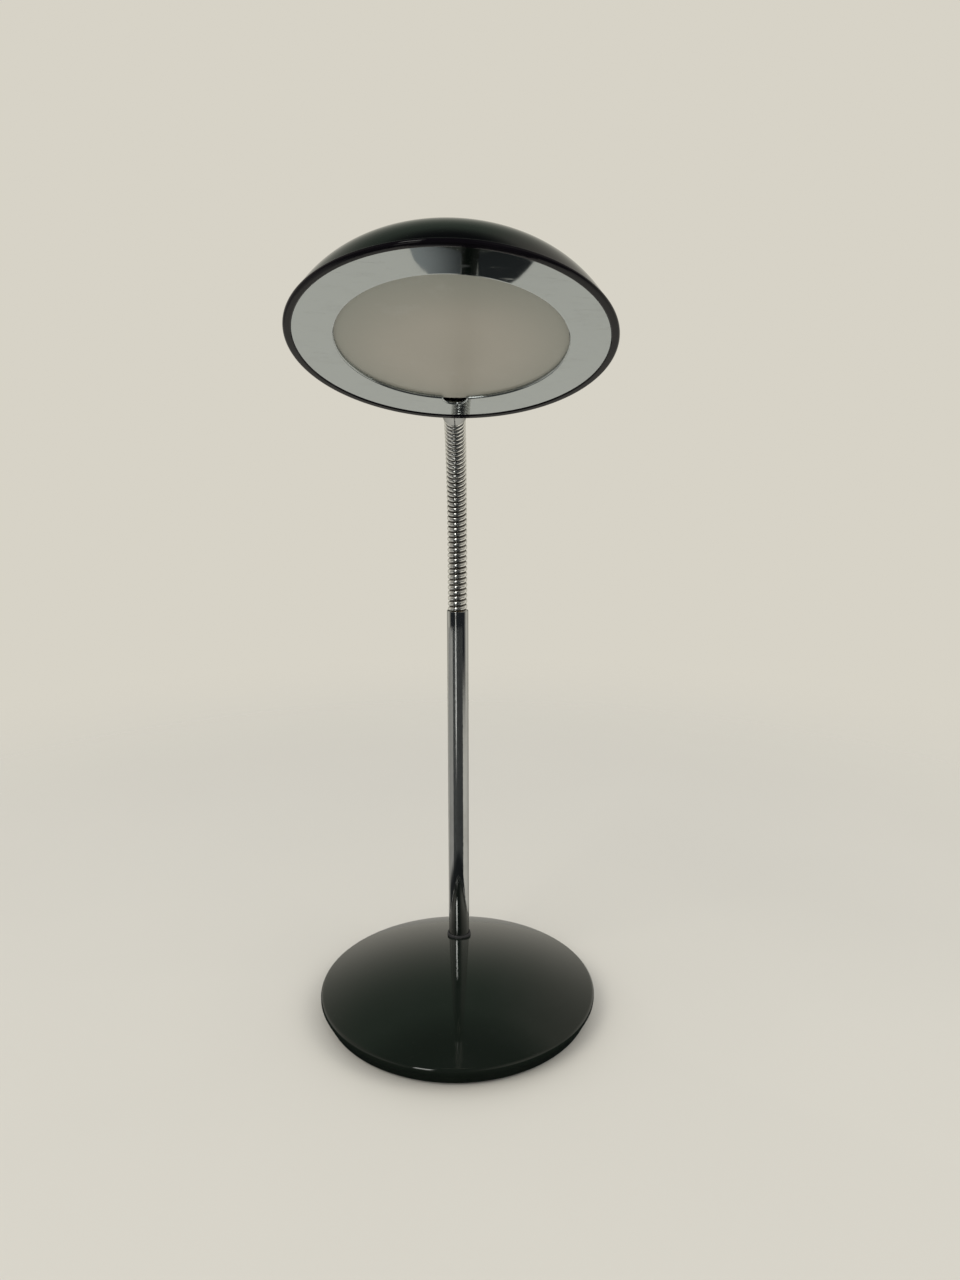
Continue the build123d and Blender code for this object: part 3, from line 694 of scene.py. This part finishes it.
def neck_piece(link):
    """Wound rib of one link, its core, and the ball that its upper hinge turns about."""
    bm = bmesh.new()
    groove = bm.verts.layers.float.new("groove")
    middle = (link - 0.5) * link_length
    turns = turns_per_link + (1 if link == 1 else 0)
    start = middle + (turns_per_link / 2 - 0.5 - turns) * rib_pitch
    wind(bm, groove, rib_outline(start), turns, rib_pitch)
    bmesh.ops.holes_fill(bm, edges=[edge for edge in bm.edges if edge.is_boundary], sides=0)
    low = start if link == 1 else middle - core_half_length
    high = middle + core_half_length
    inside = core_radius - core_wall
    core = [(low, inside), (low, core_radius), (high, core_radius), (high, inside)]
    hinge = link * link_length
    ball_turn = degrees(asin(ball_half_length / core_radius))
    ball = [(hinge + up, out) for out, up in arc((0, 0), core_radius, -ball_turn, ball_turn, 10)]
    ball += [(ball[-1][0], ball_inside), (ball[0][0], ball_inside)]
    for ring in (core, ball):
        wind(bm, groove, [(along, radius, 1.0) for along, radius in ring], 1, 0)
    bmesh.ops.remove_doubles(bm, verts=bm.verts, dist=1e-7)
    for vert in bm.verts:
        centre, lean = neck_line(vert.co.z)
        out = Vector((0, cos(lean), sin(lean)))
        vert.co = centre + Vector((vert.co.x, 0, 0)) + out * vert.co.y
    return bm


for link in range(1, hinge_count + 1):
    body = "stand" if link == 1 else f"neck_{link:02d}"
    name = f"gooseneck_turns_{link:02d}"
    piece(neck_piece(link), name, body, neck_chrome, "chrome", [f"neck_link_{link:02d}"])


def head_piece(bm, *arguments):
    """Piece made in the head's frame and moved to its place."""
    bmesh.ops.transform(bm, matrix=head_matrix, verts=bm.verts)
    piece(bm, *arguments)


# Shade outline: crown arc, then shoulder arc
crown_turn = radians(crown_edge_angle)
crown_end = 90 - crown_edge_angle
turn_radius = crown_radius * sin(crown_turn)
turn_height = shade_height - crown_radius * (1 - cos(crown_turn))
drop = turn_height - shade_seat
run = shade_radius - turn_radius
shoulder_radius = (run**2 + drop**2) / (2 * (drop * cos(crown_turn) - run * sin(crown_turn)))
shoulder_centre = (
    turn_radius - shoulder_radius * sin(crown_turn),
    turn_height - shoulder_radius * cos(crown_turn),
)


def shade_section():
    below = shade_seat - shoulder_centre[1]
    low = degrees(asin(below / shoulder_radius))
    low_inside = degrees(asin(below / (shoulder_radius - shade_wall)))
    crown = (0, shade_height - crown_radius)
    outside = arc(crown, crown_radius, 90, crown_end, 24)
    outside += arc(shoulder_centre, shoulder_radius, crown_end, low, 48)[1:]
    inside = arc(shoulder_centre, shoulder_radius - shade_wall, low_inside, crown_end, 32)
    inside += arc(crown, crown_radius - shade_wall, crown_end, 90, 16)[1:]
    return outside + inside


shade = turned(shade_section(), wide_steps, closed=False)
head_piece(shade, "shade_enamelled", "head", shade_enamel, "black_enamel", ["shade"])


# Rolled rim: a ring with a full round outside, a small one inside and a flat top
def rim_section():
    bottom = shade_seat - rim_height
    inner = rim_radius - rim_width
    roll = rim_height / 2
    points = [(inner, shade_seat)]
    points += corner((inner, bottom), rim_inner_round, 180, 270, 8)
    points += arc((rim_radius - roll, bottom + roll), roll, 270, 450, 24)
    return points


rim = turned(rim_section(), wide_steps)
head_piece(rim, "shade_rim_rolled", "head", rim_enamel, "black_enamel", ["shade_rim"])


# Mirror ring: outline of the opening with its notch at the back, offset for each loop
def opening_outline(offset):
    reach = mirror_opening + notch_shoulder
    side_y = (reach**2 - (notch_radius + notch_shoulder) ** 2 + mirror_opening**2) / (2 * mirror_opening)
    side_x = sqrt(reach**2 - side_y**2)
    around = degrees(atan2(side_y, side_x))
    inward = degrees(atan2(side_y - mirror_opening, side_x))
    shoulder = notch_shoulder - offset
    points = arc((0, 0), mirror_opening + offset, 180 - around, 360 + around, opening_steps)
    points += arc((side_x, side_y), shoulder, around + 180, inward + 180, shoulder_steps)[1:]
    points += arc((0, mirror_opening), notch_radius + offset, inward, 180 - inward, notch_steps)[1:]
    points += arc((-side_x, side_y), shoulder, -inward, -around, shoulder_steps)[1:-1]
    return points


def outer_outline(radius):
    """Points on a circle, each in line with one of the opening's."""
    angles = [atan2(y, x) for x, y in opening_outline(0.0)]
    return [(radius * cos(a), radius * sin(a)) for a in angles]


def lifted(outline, height):
    return [(x, y, height) for x, y in outline]


def ring_of_loops(loops):
    """Closed mesh that runs through each loop of points in turn, and back to the first."""
    bm = bmesh.new()
    verts = [bm.verts.new(point) for point in loops[0]]
    edges = [bm.edges.new(pair) for pair in zip(verts, verts[1:] + verts[:1])]
    for here, there in zip(loops, loops[1:] + loops[:1]):
        numbers = {Vector(point).freeze(): number for number, point in enumerate(here)}
        grown = bmesh.ops.extrude_edge_only(bm, edges=edges)["geom"]
        edges = [item for item in grown if isinstance(item, bmesh.types.BMEdge) and item.is_boundary]
        for vert in [item for item in grown if isinstance(item, bmesh.types.BMVert)]:
            vert.co = there[numbers[vert.co.copy().freeze()]]
    bmesh.ops.remove_doubles(bm, verts=bm.verts, dist=1e-7)
    return bm


# The opening's loops run up round the lip's lower edge, and down again behind the lip
mirror_top = mirror_bottom + mirror_thickness
lip_round = mirror_thickness
opening_loops = [(lip_round + flat_margin, mirror_bottom)]
for step in range(lip_steps + 1):
    turn = pi / 2 * step / lip_steps
    opening_loops.append((lip_round * (1 - sin(turn)), mirror_bottom + lip_round * (1 - cos(turn))))
opening_loops += [(0.0, mirror_lip_top), (mirror_thickness, mirror_lip_top)]
opening_loops.append((mirror_thickness, mirror_top))
mirror_loops = [lifted(outer_outline(mirror_radius), mirror_bottom)]
mirror_loops += [lifted(opening_outline(offset), height) for offset, height in opening_loops]
mirror_loops.append(lifted(outer_outline(mirror_radius), mirror_top))
head_piece(ring_of_loops(mirror_loops), "mirror_ring", "head", mirror_polish, "mirror", ["mirror_plate"])

# Glass: disc that lies on the mirror ring, with its edges just broken
glass_top = glass_bottom + glass_thickness
glass_flat = glass_radius - glass_round - flat_margin
glass_section = [(0, glass_bottom), (glass_flat, glass_bottom)]
glass_section += corner((glass_radius, glass_bottom), glass_round, 270, 360, 5)
glass_section += corner((glass_radius, glass_top), glass_round, 0, 90, 5)
glass_section += [(glass_flat, glass_top), (0, glass_top)]
glass = turned(glass_section, disc_steps, closed=False)
head_piece(glass, "glass_disc", "head", satin_glass, "frosted_glass", ["diffuser_glass"])

# Collar: sleeve from the gooseneck's end to the shade, cut to the shade's curve
collar_matrix = Matrix.Translation(neck_end) @ Matrix.Rotation(radians(neck_bend), 4, "X")
collar_way = collar_matrix.to_3x3() @ Vector((0, 0, 1))


def depth_in_shade(point):
    """How far a point lies under the shoulder of the shade."""
    local = head_matrix.inverted() @ point
    from_axis = hypot(local.x, local.y)
    return shoulder_radius - hypot(from_axis - shoulder_centre[0], local.z - shoulder_centre[1])


def collar():
    section = [(collar_mouth, collar_reach)]
    section += corner((collar_mouth, collar_start), collar_mouth_round, 180, 270, 3)
    section += corner((collar_radius, collar_start), collar_round, 270, 360, 6)
    section += [(collar_radius, collar_reach * part) for part in collar_rings]
    bm = turned(section, tube_steps)
    ends = [vert for vert in bm.verts if vert.co.z > collar_reach * collar_end_from]
    bmesh.ops.transform(bm, matrix=collar_matrix, verts=bm.verts)
    for vert in ends:
        for _ in range(collar_fit_steps):
            vert.co += collar_way * (collar_bite - depth_in_shade(vert.co))
    return bm


piece(collar(), "neck_collar_polished", "head", chrome, "chrome", ["neck_collar"])

# Push switch: bezel and dished button on the crown
bezel_seat = shade_height - bezel_sink
bezel_top = shade_height + bezel_height
bezel_section = [(bezel_inner_radius, bezel_seat)]
bezel_section += corner((bezel_inner_radius, bezel_top), bezel_inner_round, 180, 90, 4)
bezel_section += corner((bezel_radius, bezel_top), bezel_round, 90, 0, 6)
bezel_section.append((bezel_radius, bezel_seat))
bezel = turned(bezel_section, small_steps)
head_piece(bezel, "switch_bezel_moulded", "head", plastic, "black_plastic", ["switch_bezel"])

button_top = shade_height + button_stand
button_foot = shade_height - button_depth
button_section = [(button_radius * out, button_top - button_dish * sunk) for out, sunk in dish_profile]
button_section += corner((button_radius, button_top), button_round, 90, 0, 8)
button_section += [(button_radius, button_foot), (0, button_foot)]
button = turned(button_section, small_steps, closed=False)
head_piece(button, "switch_button_moulded", "button", plastic, "black_plastic", ["switch_button"])


# Studio: pale floor that fades into the backdrop, a dark card for the gloss, and soft light
def floor_finish():
    """Matt pale floor that thins out to nothing, so that the backdrop takes its place."""
    f = Finish("studio_floor")
    colour = f.mix(f.noise(3.0, 3, 0.5), floor_low, floor_high)
    matt = f.node("ShaderNodeBsdfPrincipled", {}, {"Base Color": colour, "Roughness": 0.85})
    clear = f.node("ShaderNodeBsdfTransparent", {}, {})
    distance = f.node("ShaderNodeVectorMath", {"operation": "LENGTH"}, {0: f.place}, 1)
    far = distance.above(*floor_fade)
    f.output("ShaderNodeOutputMaterial", f.node("ShaderNodeMixShader", {}, {0: far, 1: matt, 2: clear}))
    return f.material


def card_finish():
    """Dull card: black round the foot, then grey to the left, dark in front and a pale slit in the dark."""
    f = Finish("dark_card")
    x, y, _ = f.parts(f.place)
    angle = x.math("ARCTAN2", x, stem_y - y) * degrees(1)
    distance = (x**2 + y**2) ** 0.5
    slit = 1 - (angle - card_slit_angle).size().above(*card_slit_side)
    slit = slit * distance.above(*card_slit_from)
    front = angle.above(card_dark_angle - card_edge_blur, card_dark_angle + card_edge_blur)
    corner_left = (0.5 - x.above(*card_corner_side) * 0.5) * y.above(*card_corner_back)
    colour = f.mix(f.noise(4.0), card_front_low, card_front_high)
    colour = f.mix(slit, colour, card_slit_colour)
    colour = f.mix(front, card_left_colour, colour)
    near = f.mix(corner_left, card_near_colour, card_corner_colour)
    colour = f.mix(distance.above(*card_near), near, colour)
    return f.surface(Base_Color=colour, Roughness=0.7)


def staged(bm, name, finish):
    """Object of the studio, which isn't part of the lamp."""
    mesh = bpy.data.meshes.new(name)
    bm.to_mesh(mesh)
    bm.free()
    mesh.materials.append(finish)
    obj = bpy.data.objects.new(name, mesh)
    bpy.context.scene.collection.objects.link(obj)
    return obj


def studio_floor():
    bm = bmesh.new()
    bmesh.ops.create_circle(bm, cap_ends=True, segments=96, radius=floor_radius)
    staged(bm, "studio_floor", floor_finish())


def dark_card():
    """Keyhole of card on the floor, round the foot and fanned out in front of it, seen only in gloss."""
    bm = bmesh.new()
    for radius, y in card_discs:
        circle = bmesh.ops.create_circle(bm, cap_ends=True, segments=64, radius=radius)
        bmesh.ops.translate(bm, vec=(0, y, 0), verts=circle["verts"])
    fan = arc((0, stem_y), card_length, card_grey_angle - 90, card_end_angle - 90, 32)
    bm.faces.new([bm.verts.new((x, y, 0)) for x, y in [(0, stem_y)] + fan])
    bmesh.ops.translate(bm, vec=(0, 0, card_lift), verts=bm.verts)
    card = staged(bm, "dark_card", card_finish())
    card.visible_camera = False
    card.visible_diffuse = False
    card.visible_shadow = False


def soft_light(name, place, target, size, power):
    light = bpy.data.lights.new(name, "AREA")
    light.shape = "RECTANGLE"
    light.size, light.size_y = size
    light.energy = power
    light.color = light_colour
    lamp = bpy.data.objects.new(name, light)
    lamp.location = place
    lamp.rotation_euler = (Vector(target) - Vector(place)).to_track_quat("-Z", "Y").to_euler()
    lamp.visible_glossy = False
    bpy.context.scene.collection.objects.link(lamp)


def studio_world():
    """Pale backdrop for the camera; a room for gloss, pale behind the lamp and dark in front of it."""
    world = bpy.data.worlds.new("studio")
    bpy.context.scene.world = world
    world.use_nodes = True
    w = Nodes(world.node_tree)
    camera = w.node("ShaderNodeLightPath", {}, {}, "Is Camera Ray")
    glossy = w.node("ShaderNodeLightPath", {}, {}, "Is Glossy Ray")
    through = w.node("ShaderNodeLightPath", {}, {}, "Is Transmission Ray")
    x, y, z = w.parts(w.node("ShaderNodeTexCoord", {}, {}, "Generated"))
    left = x * -1
    front = (y * -1).above(*before_lamp)
    sides = x.above(*ceiling_right).or_more(left.above(*ceiling_left))
    wall = w.mix(z.above(*ceiling_up), wall_colour, w.mix(sides, ceiling_colour, beside_colour))
    wall = w.mix(z.above(*zenith_up), wall, zenith_colour)
    beside = (x.above(*beside_right) * right_share).or_more(left.above(*beside_left) * left_share)
    shown = y.above(*behind_lamp).or_more(beside * z.above(*beside_up))
    room = w.mix(shown, room_colour, wall)
    aside = (x - y * tan(radians(strip_angle))).size()
    strip = (1 - aside.above(*strip_side)) * front * (1 - z.above(*strip_up))
    room = w.mix(strip, room, strip_colour)
    aside = (x - y * tan(radians(window_angle))).size()
    window = (1 - aside.above(*window_side)) * front
    window = window * z.above(*window_sill) * (1 - z.above(*window_head))
    room = w.mix(window, room, window_colour)
    colour = w.mix((glossy + through).above(0.4, 0.6), soft_colour, room)
    lit = w.node("ShaderNodeBackground", {}, {"Color": colour, "Strength": 1.0})
    seen = w.node("ShaderNodeBackground", {}, {"Color": wall_colour, "Strength": 1.0})
    w.output("ShaderNodeOutputWorld", w.node("ShaderNodeMixShader", {}, {0: camera, 1: lit, 2: seen}))


def photograph_camera():
    data = bpy.data.cameras.new("camera")
    data.lens = camera_lens
    data.sensor_fit = "VERTICAL"
    data.sensor_height = camera_sensor
    data.clip_start = 0.01
    data.clip_end = 50.0
    camera = bpy.data.objects.new("camera", data)
    camera.location = camera_place
    look = Matrix.Rotation(radians(90 + camera_pitch), 4, "X")
    look = look @ Matrix.Rotation(radians(camera_roll), 4, "Z")
    camera.rotation_euler = look.to_euler()
    bpy.context.scene.collection.objects.link(camera)
    bpy.context.scene.camera = camera


studio_floor()
dark_card()
studio_world()
soft_light("window_light", (-0.9, -0.8, 1.2), (0, 0, 0.25), (0.9, 0.9), 8)
soft_light("room_light", (1.1, -0.3, 1.0), (0, 0, 0.2), (0.8, 0.8), 4)
photograph_camera()
bpy.context.scene.view_settings.view_transform = "Standard"
